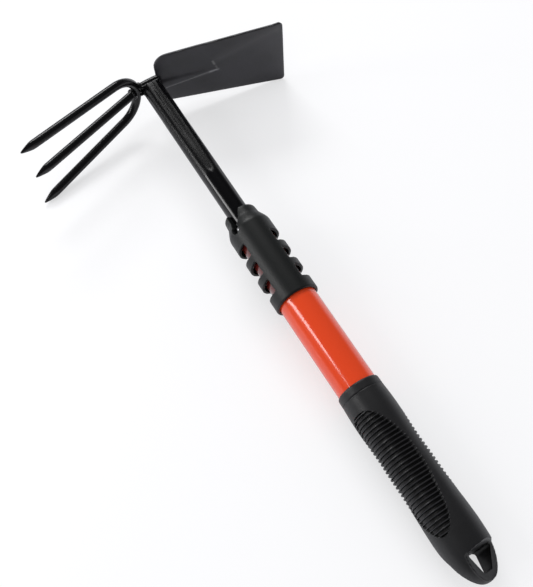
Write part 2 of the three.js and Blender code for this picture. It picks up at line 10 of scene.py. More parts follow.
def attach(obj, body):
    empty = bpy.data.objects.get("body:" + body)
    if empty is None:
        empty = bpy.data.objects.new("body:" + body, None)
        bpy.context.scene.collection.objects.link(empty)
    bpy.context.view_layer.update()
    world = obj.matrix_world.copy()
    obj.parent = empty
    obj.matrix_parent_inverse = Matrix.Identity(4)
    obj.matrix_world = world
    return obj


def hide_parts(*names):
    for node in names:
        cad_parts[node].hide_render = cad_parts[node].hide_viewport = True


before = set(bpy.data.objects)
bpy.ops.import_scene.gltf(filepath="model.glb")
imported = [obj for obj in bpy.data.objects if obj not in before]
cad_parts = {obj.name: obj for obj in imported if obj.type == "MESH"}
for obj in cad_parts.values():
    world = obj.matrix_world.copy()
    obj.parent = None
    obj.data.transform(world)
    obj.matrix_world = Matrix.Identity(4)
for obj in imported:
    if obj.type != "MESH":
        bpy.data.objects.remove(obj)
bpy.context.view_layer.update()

# The tool's own frame, in millimetres: +X from the butt of the grip to the head, +Y to the tines,
# -Y to the blade, Z across the blade. REST lays the tool down as the CAD does, and TOOL also turns
# it into metres.
REST = Matrix((
    (0.998939, -0.000722, -0.046051, -197.400359),
    (0.0, 0.999877, -0.015674, -4.260411),
    (0.046057, 0.015658, 0.998816, 13.269839),
    (0.0, 0.0, 0.0, 1.0),
))
MM = 0.001
TOOL = Matrix.Scale(MM, 4) @ REST
FROM_TOOL = TOOL.inverted()

# Sizes that more than one piece uses, as in the CAD
GRIP_LENGTH = 126.4
TUBE_RADIUS = 12.5
COLLAR_REAR = 192.8
COLLAR_LENGTH = 72.0
COLLAR_NOSE = COLLAR_REAR + COLLAR_LENGTH
SHANK_RADIUS = 7.35
SHANK_END = 388.8
ROD_RADIUS = 3.05


# Small numeric helpers

def smooth(low, high, value):
    """0 up to low, 1 from high on, and an even S between them."""
    t = min(1.0, max(0.0, (value - low) / (high - low)))
    return t * t * (3 - 2 * t)


def soft_min(a, b, blend):
    """The lesser of a and b, rounded off over blend where they meet."""
    h = max(blend - abs(a - b), 0.0) / blend
    return min(a, b) - h * h * blend / 4


def spline(points):
    """A smooth curve through [x, y] points, monotone between them (Fritsch and Carlson)."""
    xs = [p[0] for p in points]
    ys = [p[1] for p in points]
    slopes = [(ys[i + 1] - ys[i]) / (xs[i + 1] - xs[i]) for i in range(len(xs) - 1)]
    tangents = [slopes[0]]
    for a, b in zip(slopes, slopes[1:]):
        tangents.append(0.0 if a * b <= 0 else 2 * a * b / (a + b))
    tangents.append(slopes[-1])

    def value(x):
        i = min(max(bisect.bisect_right(xs, x) - 1, 0), len(slopes) - 1)
        run = xs[i + 1] - xs[i]
        t = min(1.0, max(0.0, (x - xs[i]) / run))
        return (
            ys[i] * (2 * t ** 3 - 3 * t ** 2 + 1)
            + tangents[i] * run * (t ** 3 - 2 * t ** 2 + t)
            + ys[i + 1] * (3 * t ** 2 - 2 * t ** 3)
            + tangents[i + 1] * run * (t ** 3 - t ** 2)
        )

    return value


def frange(start, end, step):
    """Even places from start to end, about a step apart."""
    count = max(1, round(abs(end - start) / step))
    return [start + (end - start) * i / count for i in range(count + 1)]


def angles(steps):
    """Even angles round a full turn."""
    return [2 * math.pi * j / steps for j in range(steps)]


# Outlines in a plane, as lists of (x, y)

def rounded(corners, radii, steps=6):
    """A closed outline with each corner rounded by its own radius."""
    points = []
    for i, corner in enumerate(corners):
        here = Vector(corner)
        before = (Vector(corners[i - 1]) - here).normalized()
        after = (Vector(corners[(i + 1) % len(corners)]) - here).normalized()
        half = math.acos(max(-1, min(1, before.dot(after)))) / 2
        centre = here + (before + after).normalized() * (radii[i] / math.sin(half))
        start = here + before * (radii[i] / math.tan(half)) - centre
        end = here + after * (radii[i] / math.tan(half)) - centre
        sweep = math.atan2(start.x * end.y - start.y * end.x, start.dot(end))
        for k in range(steps + 1):
            a = sweep * k / steps
            points.append((
                centre.x + start.x * math.cos(a) - start.y * math.sin(a),
                centre.y + start.x * math.sin(a) + start.y * math.cos(a),
            ))
    return points


def resample(points, step):
    """The same closed outline with points about a step apart."""
    made = []
    for i, (x, y) in enumerate(points):
        next_x, next_y = points[(i + 1) % len(points)]
        count = max(1, round(math.hypot(next_x - x, next_y - y) / step))
        for k in range(count):
            made.append((x + (next_x - x) * k / count, y + (next_y - y) * k / count))
    return made


def inset(points, distance):
    """The same closed outline, moved inwards point by point."""
    count = len(points)
    area = sum(
        points[i][0] * points[(i + 1) % count][1] - points[(i + 1) % count][0] * points[i][1]
        for i in range(count)
    )
    sign = 1 if area > 0 else -1
    made = []
    for i in range(count):
        a, b, c = Vector(points[i - 1]), Vector(points[i]), Vector(points[(i + 1) % count])
        before, after = (b - a).normalized(), (c - b).normalized()
        inward_before = Vector((-before.y, before.x)) * sign
        inward_after = Vector((-after.y, after.x)) * sign
        inward = (inward_before + inward_after).normalized()
        made.append(tuple(b + inward * distance / max(0.5, inward.dot(inward_before))))
    return made


def is_inside(x, y, outline):
    hit = False
    for i, (x1, y1) in enumerate(outline):
        x2, y2 = outline[(i + 1) % len(outline)]
        if (y1 > y) != (y2 > y) and x < (x2 - x1) * (y - y1) / (y2 - y1) + x1:
            hit = not hit
    return hit


# Meshes as vertices and faces, all in the tool's frame

def ring_point(x, radius, angle):
    """A point round X, its angle from Z towards the blade side."""
    return x, -math.sin(angle) * radius, math.cos(angle) * radius


def skin(rings, closed=False):
    """The skin over rings of equal count. A closed one also joins the last ring to the first."""
    steps = len(rings[0])
    faces = []
    for i in range(len(rings) if closed else len(rings) - 1):
        n = (i + 1) % len(rings)
        for j in range(steps):
            k = (j + 1) % steps
            faces.append((i * steps + j, i * steps + k, n * steps + k, n * steps + j))
    return [tuple(point) for ring in rings for point in ring], faces


def plugged(rings):
    """The skin over rings, with one flat face on each end."""
    verts, faces = skin(rings)
    steps = len(rings[0])
    faces.append(tuple(range(steps)))
    faces.append(tuple(range(len(verts) - steps, len(verts))))
    return verts, faces


def domed(rings, first_centre, last_centre):
    """The skin over rings, with triangles from each end to a centre."""
    verts, faces = skin(rings)
    steps = len(rings[0])
    for start, centre in ((0, first_centre), (len(verts) - steps, last_centre)):
        verts.append(tuple(centre))
        for j in range(steps):
            faces.append((start + j, start + (j + 1) % steps, len(verts) - 1))
    return verts, faces


def turned(profile, steps):
    """A profile of (x, radius) points turned round X. It closes on itself."""
    return skin([[ring_point(x, r, a) for a in angles(steps)] for x, r in profile], closed=True)


def swept(stations, steps):
    """A rod through stations: a centre and two half axes as vectors. Both ends close."""
    rings = [
        [centre + side * math.cos(a) + up * math.sin(a) for a in angles(steps)]
        for centre, side, up in stations
    ]
    return domed(rings, stations[0][0], stations[-1][0])


def prism(outline, low, high, plane):
    """A cutter: an outline in a plane's X and Y, swept along its Z."""
    return plugged([[plane @ Vector((x, y, z)) for x, y in outline] for z in (low, high)])


def placed(mesh, plane):
    """A mesh moved from a plane's frame to the tool's."""
    verts, faces = mesh
    return [tuple(plane @ Vector(v)) for v in verts], faces


def turn_x(angle):
    """A frame whose Z is turned from the tool's Z towards the blade side."""
    return Matrix.Rotation(angle, 4, "X")


# Objects

def finish_mesh(obj, mat, sharp=None):
    """Outward normals, smooth faces that break at edges over sharp degrees, and one material."""
    mesh = obj.data
    bm = bmesh.new()
    bm.from_mesh(mesh)
    bmesh.ops.recalc_face_normals(bm, faces=bm.faces)
    for face in bm.faces:
        face.smooth = True
    if sharp is not None:
        limit = math.radians(sharp)
        for edge in bm.edges:
            edge.smooth = len(edge.link_faces) != 2 or edge.calc_face_angle(0.0) < limit
    bm.to_mesh(mesh)
    bm.free()
    mesh.materials.clear()
    mesh.materials.append(mat)


def new_piece(name, mesh_data, mat, sharp=None):
    """An object in metres from vertices and faces in the tool's frame."""
    verts, faces = mesh_data
    mesh = bpy.data.meshes.new(name)
    mesh.from_pydata([tuple(TOOL @ Vector(v)) for v in verts], [], faces)
    obj = bpy.data.objects.new(name, mesh)
    bpy.context.scene.collection.objects.link(obj)
    finish_mesh(obj, mat, sharp)
    return obj


def apply_modifiers(obj):
    graph = bpy.context.evaluated_depsgraph_get()
    made = bpy.data.meshes.new_from_object(obj.evaluated_get(graph))
    obj.modifiers.clear()
    old = obj.data
    obj.data = made
    made.name = obj.name
    bpy.data.meshes.remove(old)


def cut(obj, mesh_data):
    """Takes a cutter's vertices and faces out of the piece."""
    cutter = new_piece("cutter", mesh_data, obj.data.materials[0])
    tool = obj.modifiers.new("cut", "BOOLEAN")
    tool.operation = "DIFFERENCE"
    tool.solver = "EXACT"
    tool.object = cutter
    apply_modifiers(obj)
    bpy.data.objects.remove(cutter)


def soften(obj, voxel, rounds):
    """Turns the piece into an even mesh and rounds its edges, as moulding and melting do."""
    even = obj.modifiers.new("even", "REMESH")
    even.mode = "VOXEL"
    even.voxel_size = voxel * MM
    calm = obj.modifiers.new("calm", "LAPLACIANSMOOTH")
    calm.iterations = rounds
    calm.lambda_factor = 0.6
    calm.use_volume_preserve = True
    apply_modifiers(obj)


def hand_in(obj, node):
    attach(obj, "root")
    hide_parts(node)


# Materials

def material(name, colour, roughness, metallic=0.0, coat=0.0, coat_roughness=0.1, specular=0.5):
    mat = bpy.data.materials.new(name)
    mat.use_nodes = True
    for socket, value in (
        ("Base Color", (*colour, 1.0)),
        ("Roughness", roughness),
        ("Metallic", metallic),
        ("Coat Weight", coat),
        ("Coat Roughness", coat_roughness),
        ("Specular IOR Level", specular),
    ):
        shader_input(mat, socket).default_value = value
    return mat


def shader_input(mat, name):
    return mat.node_tree.nodes["Principled BSDF"].inputs[name]


def add_noise(mat, scale, detail, to_roughness=None, to_colour=None, bump=None):
    """Fine variation from noise in the object's own coordinates, which are metres."""
    low, high = 0.3, 0.7  # the part of the noise's range that is spread over the result
    tree = mat.node_tree
    place = tree.nodes.new("ShaderNodeTexCoord")
    grain = tree.nodes.new("ShaderNodeTexNoise")
    grain.inputs["Scale"].default_value = scale
    grain.inputs["Detail"].default_value = detail
    tree.links.new(place.outputs["Object"], grain.inputs["Vector"])
    if to_roughness:
        spread = tree.nodes.new("ShaderNodeMapRange")
        for name, value in zip(("From Min", "From Max", "To Min", "To Max"),
                               (low, high, *to_roughness)):
            spread.inputs[name].default_value = value
        tree.links.new(grain.outputs["Fac"], spread.inputs["Value"])
        tree.links.new(spread.outputs["Result"], shader_input(mat, "Roughness"))
    if to_colour:
        ramp = tree.nodes.new("ShaderNodeValToRGB")
        for stop, position, colour in zip(ramp.color_ramp.elements, (low, high), to_colour):
            stop.position = position
            stop.color = (*colour, 1.0)
        tree.links.new(grain.outputs["Fac"], ramp.inputs["Fac"])
        tree.links.new(ramp.outputs["Color"], shader_input(mat, "Base Color"))
    if bump:
        strength, distance = bump
        lift = tree.nodes.new("ShaderNodeBump")
        lift.inputs["Strength"].default_value = strength
        lift.inputs["Distance"].default_value = distance
        tree.links.new(grain.outputs["Fac"], lift.inputs["Height"])
        tree.links.new(lift.outputs["Normal"], shader_input(mat, "Normal"))


def calculate(tree, operation, a, b=None, clamp=False):
    """One sum of a material, from sockets or numbers."""
    node = tree.nodes.new("ShaderNodeMath")
    node.operation = operation
    node.use_clamp = clamp
    for i, value in enumerate((a, b)):
        if isinstance(value, (int, float)):
            node.inputs[i].default_value = value
        elif value is not None:
            tree.links.new(value, node.inputs[i])
    return node.outputs[0]


def dot_product(tree, coordinates, vector):
    """The dot product of the surface's own coordinates or normal with a fixed vector."""
    place = tree.nodes.new("ShaderNodeTexCoord")
    dot = tree.nodes.new("ShaderNodeVectorMath")
    dot.operation = "DOT_PRODUCT"
    dot.inputs[1].default_value = tuple(vector)
    tree.links.new(place.outputs[coordinates], dot.inputs[0])
    return dot.outputs["Value"]


def measure(tree, plane, direction, offset):
    """Distance along a direction of a plane of the tool, in millimetres, less an offset."""
    to_plane = (REST @ plane).inverted()
    along = to_plane.to_3x3().transposed() @ Vector((*direction, 0.0)) / MM
    shift = to_plane.translation.x * direction[0] + to_plane.translation.y * direction[1]
    return calculate(tree, "ADD", dot_product(tree, "Object", along), shift - offset)


def facing_up(tree, plane):
    """1 where the surface faces a plane's own Z, 0 where it faces away."""
    steepness = 4.0
    up = (REST @ plane).to_3x3() @ Vector((0.0, 0.0, steepness))
    return calculate(tree, "MULTIPLY", dot_product(tree, "Normal", up), 1.0, clamp=True)


def paint_over(mat, share, colour):
    """The material's colour, mixed with another one by a share."""
    tree = mat.node_tree
    socket = shader_input(mat, "Base Color")
    blend = tree.nodes.new("ShaderNodeMix")
    blend.data_type = "RGBA"
    if socket.links:
        tree.links.new(socket.links[0].from_socket, blend.inputs["A"])
    else:
        blend.inputs["A"].default_value = socket.default_value
    blend.inputs["B"].default_value = (*colour, 1.0)
    tree.links.new(share, blend.inputs["Factor"])
    tree.links.new(blend.outputs["Result"], socket)


def roughen(mat, share, amount):
    """Adds an amount to the roughness by a share. A negative amount polishes."""
    tree = mat.node_tree
    socket = shader_input(mat, "Roughness")
    change = calculate(tree, "MULTIPLY", share, amount)
    tree.links.new(calculate(tree, "ADD", socket.links[0].from_socket, change), socket)


def past_along(mat, start, run):
    """A share that goes from 0 to 1 over a run along the tool, from a start, in millimetres."""
    tree = mat.node_tree
    past = measure(tree, Matrix.Identity(4), (1, 0), start)
    return calculate(tree, "MULTIPLY", past, 1 / run, clamp=True)


def paint_highlight_lines(mat, plane, lines):
    """Painted highlight lines on a plane's upper face, each (start, end, half width, colour) in
    millimetres.
    """
    fade = 1.5  # past a line's ends
    tree = mat.node_tree
    front = facing_up(tree, plane)
    for start, end, half, colour in lines:
        a, b = Vector(start), Vector(end)
        along = (b - a).normalized()
        across = Vector((-along.y, along.x))
        off = calculate(tree, "ABSOLUTE", measure(tree, plane, across, across.dot(a)))
        past = calculate(tree, "ABSOLUTE", measure(tree, plane, along, along.dot((a + b) / 2)))
        past = calculate(tree, "SUBTRACT", past, (b - a).length / 2)
        near = calculate(tree, "SUBTRACT", 1.0, calculate(tree, "DIVIDE", off, half), clamp=True)
        ends = calculate(tree, "SUBTRACT", 1.0, calculate(tree, "DIVIDE", past, fade), clamp=True)
        share = calculate(tree, "MULTIPLY", calculate(tree, "MULTIPLY", near, ends), front)
        paint_over(mat, share, colour)


def paint_hole_shade(mat, plane, corners, colour):
    """Painted shade inside a hole, to just past its outline, given anticlockwise in a plane."""
    reach, fade = 0.15, 0.3
    tree = mat.node_tree
    share = 1.0
    for i, start in enumerate(corners):
        a, b = Vector(start), Vector(corners[(i + 1) % len(corners)])
        along = (b - a).normalized()
        outward = Vector((along.y, -along.x))
        past = measure(tree, plane, outward, outward.dot(a) + reach)
        within = calculate(tree, "SUBTRACT", 1.0, calculate(tree, "DIVIDE", past, fade), clamp=True)
        share = calculate(tree, "MULTIPLY", share, within)
    paint_over(mat, share, colour)


BLACK_BUMP = (0.08, 0.00003)
MOULDED_BUMP = (0.35, 0.00006)
paint_black = material("paint_black", (0.004, 0.004, 0.0045), 0.26, specular=0.34)
add_noise(paint_black, 1400, 3, to_roughness=(0.2, 0.28), bump=BLACK_BUMP)
paint_shank = material("paint_black_shank", (0.0025, 0.0025, 0.003), 0.26, specular=0.3)
add_noise(paint_shank, 1400, 3, to_roughness=(0.12, 0.18), bump=BLACK_BUMP)
paint_blade = material("paint_blade", (0.026, 0.025, 0.029), 0.4)
add_noise(paint_blade, 60, 4, to_roughness=(0.36, 0.46),
          to_colour=((0.017, 0.0165, 0.019), (0.029, 0.028, 0.033)))
paint_orange = material("paint_orange", (0.74, 0.058, 0.011), 0.3,
                        coat=1.0, coat_roughness=0.13, specular=0.1)
add_noise(paint_orange, 900, 2, to_roughness=(0.28, 0.34))
collar_plastic = material("collar_plastic", (0.005, 0.006, 0.006), 0.44, specular=0.36)
add_noise(collar_plastic, 1500, 3, to_roughness=(0.4, 0.48), bump=MOULDED_BUMP)
grip_rubber = material("grip_rubber", (0.0125, 0.0125, 0.0135), 0.43, specular=0.4)
add_noise(grip_rubber, 1300, 3, to_roughness=(0.37, 0.5), bump=MOULDED_BUMP)
bush_plastic = material("bush_plastic", (0.012, 0.012, 0.013), 0.6)
add_noise(bush_plastic, 1500, 3, to_roughness=(0.55, 0.65))
rivet_steel = material("rivet_steel", (0.3, 0.3, 0.31), 0.34, metallic=1.0)
add_noise(rivet_steel, 1200, 2, to_roughness=(0.3, 0.4))

# The hidden bush keeps its CAD shape
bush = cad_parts["reducer_bush"].data
bush.materials.clear()
bush.materials.append(bush_plastic)

# Grip: a round body with two leaning ribbed panels, and a flat end loop with a hang hole

GRIP_STEPS = 216
GRIP_TURN = math.radians(38)   # of the loop's flats, from Z towards the blade side
RIM_GROOVE = (5.7, 0.28, 0.45)  # behind the front, its depth and half width

TAIL_END = 31.0                # where the tail's curve hands over to the front's
grip_tail = spline([
    (0.0, 0.05), (0.06, 1.1), (0.25, 2.25), (0.6, 3.5), (1.2, 4.95), (2.4, 6.85), (4.3, 8.87),
    (6.2, 10.33), (8.5, 11.65), (11.0, 12.7), (14.0, 13.5), (17.0, 13.9), (20.0, 14.2),
    (24.0, 14.4), (31.0, 14.6),
])
grip_front = spline([
    (31.0, 14.6), (40.0, 14.4), (52.4, 13.92), (62.0, 13.88), (71.4, 13.9), (84.4, 13.68),
    (96.0, 13.9), (107.4, 14.15), (114.0, 14.0), (120.5, 13.72), (125.2, 13.65), (125.9, 13.5),
    (126.3, 13.15), (126.4, 12.9),
])

PANEL_TURN = GRIP_TURN - math.pi / 2
PANEL_LEAN = math.radians(14)  # that the panels' rear ends lean round the grip
PANEL_REAR = 30.5
PANEL_WIDEST = 71.0
PANEL_FRONT = 110.5
PANEL_HALF = 13.25
PANEL_POWERS = (2.1, 3.0)      # of the curves behind and ahead of the widest place
RIB_PITCH = 2.5
VALLEY_DEPTH = 1.15
RIB_RISE = 1.35                # from a valley to a crest
RIM_LIFT = 0.12                # of the low ridge round a panel

LOOP_FLAT = 17.6               # where the loop's flats end in a shoulder
LOOP_TIP_HALF = 2.0
LOOP_HALF = 6.6
LOOP_BLEND = 0.45
LOOP_BEAD = (0.42, 1.5)        # on the edge of the front flat: its height and width
SHOULDER_RUN = 1.2
SHOULDER_SLOPES = (4.6, 0.24)  # on the front and on the back
LOOP_CUT = 26.0                # where the loop's mesh meets the ribbed body's

HOLE_CORNERS = [(5.0, 3.6), (17.2, 11.0), (17.2, -11.0), (5.0, -3.6)]
HOLE_RADII = [1.8, 1.6, 1.6, 1.8]
HOLE_LIP = 0.55


def grip_radius(x):
    return grip_tail(x) if x < TAIL_END else grip_front(x)


def loop_half(x, back):
    """Half thickness of the loop: its flats close towards the butt and end in a shoulder."""
    wedge = LOOP_TIP_HALF + (LOOP_HALF - LOOP_TIP_HALF) * max(x, 0.0) / LOOP_FLAT
    past = x - LOOP_FLAT
    if past <= -SHOULDER_RUN:
        return wedge
    if past < 0:
        ramp = (past + SHOULDER_RUN) ** 2 / (2 * SHOULDER_RUN)
    else:
        ramp = past + SHOULDER_RUN / 2
    return wedge + ramp * SHOULDER_SLOPES[1 if back else 0]


def panel_half(x):
    """Half width of a ribbed panel round the grip, negative past its ends."""
    ahead = x > PANEL_WIDEST
    reach = (PANEL_FRONT - PANEL_WIDEST) if ahead else (PANEL_WIDEST - PANEL_REAR)
    share = abs(x - PANEL_WIDEST) / reach
    if share >= 1:
        return -30.0 * (share - 1)
    power = PANEL_POWERS[1 if ahead else 0]
    return PANEL_HALF * (1 - share ** power) ** (1 / power)


def panel_depth(x, angle):
    """How far a place is inside the edge of the nearer panel, negative outside it."""
    lean = PANEL_LEAN * (1 - smooth(33.0, 60.0, x))
    return panel_half(x) - abs(math.sin(angle - PANEL_TURN - lean)) * grip_radius(x)


def rib_wave(x):
    """Height of the ribs from 0 in a valley to 1 on a rounded crest."""
    phase = ((x - PANEL_REAR) / RIB_PITCH) % 1.0
    return smooth(0.56, 1.0, 0.5 - 0.5 * math.cos(2 * math.pi * phase))


def rib_shares(x, angle):
    """How far a place is a rib's crest, which gets a painted highlight, and how far the valley
    between two ribs, which gets painted shade.
    """
    if not PANEL_REAR < x < PANEL_FRONT:
        return 0.0, 0.0
    inside = smooth(-0.1, 0.5, panel_depth(x, angle))
    wave = rib_wave(x)
    return inside * wave ** 3, inside * (1 - wave) ** 2


def grip_surface(x, angle):
    r = grip_radius(x)
    if PANEL_REAR - 1 < x < PANEL_FRONT + 1:
        inside = panel_depth(x, angle)
        floor_share = smooth(-0.25, 0.35, inside)
        r += RIM_LIFT * smooth(-0.7, 0.15, inside) * (1 - floor_share)
        r += floor_share * (RIB_RISE * rib_wave(x) - VALLEY_DEPTH)
    inset_by, depth, half = RIM_GROOVE
    r -= depth * (1 - smooth(0.0, half, abs(x - (GRIP_LENGTH - inset_by))))
    if x < 37:
        facing = math.cos(angle - GRIP_TURN)
        flat = loop_half(x, facing < 0) / max(abs(facing), 0.05)
        bead = 0.0
        if facing > 0 and 0.6 < x < LOOP_FLAT:
            height, width = LOOP_BEAD
            bead = height * math.exp(-((r - flat) / width) ** 2)
        r = soft_min(r, flat, LOOP_BLEND) + bead
    return max(r, 0.02)


def grip_rings(xs):
    return [[ring_point(x, grip_surface(x, a), a) for a in angles(GRIP_STEPS)] for x in xs]


def hole_cutter():
    """It widens in a round lip towards both faces of the loop, and then goes on past them."""
    outline = rounded(HOLE_CORNERS, HOLE_RADII)
    middle = sum(p[0] for p in outline) / len(outline)
    levels = [(-8.0, HOLE_LIP + 0.6)]
    for a in [math.pi / 2 * k / 5 for k in range(6)]:
        levels.append((HOLE_LIP * (1 - math.cos(a)), HOLE_LIP * (1 - math.sin(a))))
    rings = []
    for side, steps in ((-1, levels), (1, reversed(levels))):
        for depth, grow in steps:
            ring = []
            for x, y in outline:
                reach = math.hypot(x - middle, y)
                at_x = middle + (x - middle) * (reach + grow) / reach
                at_y = y * (reach + grow) / reach
                at_z = side * (loop_half(at_x, False) - depth)
                ring.append(turn_x(GRIP_TURN) @ Vector((at_x, at_y, at_z)))
            rings.append(ring)
    return plugged(rings)


def grow_body(grip):
    """Opens the loop's blind end, adds the ribbed body there and turns its front in to a bore."""
    xs = frange(LOOP_CUT, 29.0, 0.5)[:-1] + frange(29.0, 114.0, 0.2) + frange(114.6, 120.0, 0.6)
    xs += frange(120.2, 121.2, 0.12) + [122.0, 123.2, 124.4, 125.0, 125.5, 125.9, 126.15]
    xs += [126.3, 126.38, GRIP_LENGTH]
    body = new_piece("grip_body", skin(grip_rings(xs)), grip_rubber)
    bm = bmesh.new()
    bm.from_mesh(grip.data)
    ends = [f for f in bm.faces if (FROM_TOOL @ f.calc_center_median()).x > LOOP_CUT - 0.01]
    bmesh.ops.delete(bm, geom=ends, context="FACES")
    bmesh.ops.delete(bm, geom=[v for v in bm.verts if not v.link_faces], context="VERTS")
    bm.from_mesh(body.data)

    def turn_of(vert):
        """The vertex's angle round X, from Z towards the tines."""
        local = FROM_TOOL @ vert.co
        return math.atan2(local.y, local.z)

    rings = [[v for v in bm.verts if abs((FROM_TOOL @ v.co).x - GRIP_LENGTH) < 0.005]]
    rings[0].sort(key=turn_of)
    bore = TUBE_RADIUS + 0.15
    for x in (GRIP_LENGTH, GRIP_LENGTH - 6.0):
        rings.append([
            bm.verts.new(TOOL @ Vector(ring_point(x, bore, -turn_of(v)))) for v in rings[0]
        ])
    for a, b in zip(rings, rings[1:]):
        for j in range(GRIP_STEPS):
            k = (j + 1) % GRIP_STEPS
            bm.faces.new((a[j], a[k], b[k], b[j]))
    bm.faces.new(rings[-1])
    bmesh.ops.remove_doubles(bm, verts=bm.verts, dist=0.00001)
    bm.to_mesh(grip.data)
    bm.free()
    bpy.data.objects.remove(body)


def paint_rib_highlight_and_shade(grip):
    """The ribs' crests get a painted highlight and are smoother, as a hand wears them; the valleys
    get painted shade.
    """
    shares = []
    for v in grip.data.vertices:
        at = FROM_TOOL @ v.co
        shares.append(rib_shares(at.x, math.atan2(-at.y, at.z)))
    # Painted highlight on the crests and painted shade in the valleys
    layers = (("crest", (0.026, 0.026, 0.028)), ("valley", (0.0015, 0.0015, 0.0017)))
    for i, (name, colour) in enumerate(layers):
        layer = grip.data.attributes.new(name, "FLOAT", "POINT")
        layer.data.foreach_set("value", [pair[i] for pair in shares])
        rib_paint_share = grip_rubber.node_tree.nodes.new("ShaderNodeAttribute")
        rib_paint_share.attribute_name = name
        paint_over(grip_rubber, rib_paint_share.outputs["Fac"], colour)
        if name == "crest":
            roughen(grip_rubber, rib_paint_share.outputs["Fac"], -0.14)


loop_xs = [0.0, 0.03, 0.07, 0.14, 0.25, 0.4, 0.6, 0.85, 1.15, 1.5, 1.9, 2.35, 2.8]
loop_xs += frange(3.2, LOOP_CUT, 0.4)
loop = domed(grip_rings(loop_xs), (0.0, 0.0, 0.0), (LOOP_CUT, 0.0, 0.0))
grip = new_piece("grip_ribbed", loop, grip_rubber)
cut(grip, hole_cutter())
grow_body(grip)
finish_mesh(grip, grip_rubber, 40)
# Painted shade: the hang hole's walls are painted near black, as the loop shades them
paint_hole_shade(grip_rubber, turn_x(GRIP_TURN), HOLE_CORNERS[::-1], (0.0012, 0.0012, 0.0013))
# Painted highlight on the rib crests and painted shade between them
paint_rib_highlight_and_shade(grip)
hand_in(grip, "grip")

# Handle tube: it steps down inside the collar, where it is painted dark red as painted shade, seen
# through the gills

TUBE_BUTT = 32.0
TUBE_STEP = 1.3
TUBE_END = 245.5
tube = [(TUBE_BUTT, TUBE_RADIUS - 1.2), (TUBE_BUTT, TUBE_RADIUS)]
tube += [(x, TUBE_RADIUS) for x in frange(36.0, 195.0, 8.0)]
tube += [(x, TUBE_RADIUS - TUBE_STEP * smooth(195.0, 198.5, x)) for x in frange(195.5, 199.0, 0.5)]
tube += [(x, TUBE_RADIUS - TUBE_STEP) for x in frange(204.0, 245.0, 8.0)]
tube += [(TUBE_END, TUBE_RADIUS - TUBE_STEP), (TUBE_END, TUBE_RADIUS - 2.2)]
tube += [(200.0, TUBE_RADIUS - 2.2), (197.0, TUBE_RADIUS - 1.2)]
# Painted shade: from just inside the collar's rear on, the orange is painted dark red where the
# collar's walls shade the tube
paint_over(paint_orange, past_along(paint_orange, 193.6, 0.8), (0.11, 0.012, 0.009))
handle = new_piece("handle_tube_painted", turned(tube, 160), paint_orange, 40)
hand_in(handle, "handle_tube")

# Collar: a moulded sleeve with two rows of three gills, and a notch and counterbore in its nose

COLLAR_GAP = 0.25              # round the tube and the shank
COLLAR_STEP = COLLAR_REAR + 55.0
GILL_PITCH = 14.5
GILL_FIRST = 13.3
GILL_REACH = 11.0
GILL_HALF = (4.75, 4.0)        # half length of a gill at its ends and in its middle
GILL_TURN = math.radians(-6)
GILL_RADII = [0.6, 0.6, 5.0, 0.6, 0.6, 5.0]
RIVET_X = COLLAR_NOSE - 13.5
RIVET_TURN = -math.pi / 4
COUNTERBORE = 3.0
NOTCH = [(2.6, -3.2), (13.5, -7.3), (18.0, -7.3), (18.0, 2.3), (13.5, 2.3), (2.6, 1.9)]
CUT_REACH = 20.0               # how far out a cutter goes

collar_radius = spline([
    (0.0, 14.0), (0.25, 14.4), (0.8, 14.62), (20.0, 14.62), (40.0, 14.62), (57.4, 14.6),
    (58.6, 14.42), (61.0, 13.55), (64.4, 12.05), (65.8, 11.55), (68.0, 11.35), (70.6, 11.1),
    (71.5, 10.6), (71.9, 10.0), (72.0, 9.4),
])
collar_xs = [0.0, 0.25, 0.5, 0.8] + frange(1.5, 56.5, 1.5) + frange(57.0, 70.5, 0.5)
collar_xs += [71.0, 71.5, 71.75, 71.9, COLLAR_LENGTH]
collar_profile = [(COLLAR_REAR + x, collar_radius(x)) for x in collar_xs]
collar_profile += [
    (COLLAR_NOSE, SHANK_RADIUS + COLLAR_GAP), (COLLAR_STEP, SHANK_RADIUS + COLLAR_GAP),
    (COLLAR_STEP - 0.2, TUBE_RADIUS + COLLAR_GAP), (COLLAR_REAR, TUBE_RADIUS + COLLAR_GAP),
]
collar = new_piece("collar_gilled", turned(collar_profile, 144), collar_plastic)
for side in (math.pi / 2, -math.pi / 2):
    for i in range(3):
        middle = COLLAR_REAR + GILL_FIRST + GILL_PITCH * i
        end, waist = GILL_HALF
        gill = rounded([
            (middle - end, -GILL_REACH), (middle + end, -GILL_REACH), (middle + waist, 0.0),
            (middle + end, GILL_REACH), (middle - end, GILL_REACH), (middle - waist, 0.0),
        ], GILL_RADII, 5)
        cut(collar, prism(gill, 5.5, CUT_REACH, turn_x(side + GILL_TURN)))
rivet_plane = turn_x(RIVET_TURN) @ Matrix.Translation((RIVET_X, 0, 0))
counterbore = [(COUNTERBORE * math.cos(a), COUNTERBORE * math.sin(a)) for a in angles(24)]
cut(collar, prism(counterbore, SHANK_RADIUS + 1.0, CUT_REACH, rivet_plane))
cut(collar, prism(rounded(NOTCH, [0.8] * 6, 4), 0.5, CUT_REACH, rivet_plane))
soften(collar, 0.32, 4)
finish_mesh(collar, collar_plastic)
hand_in(collar, "collar")

# Rivet: a shank through the wall, a flange and a dome, turned round X and then stood up

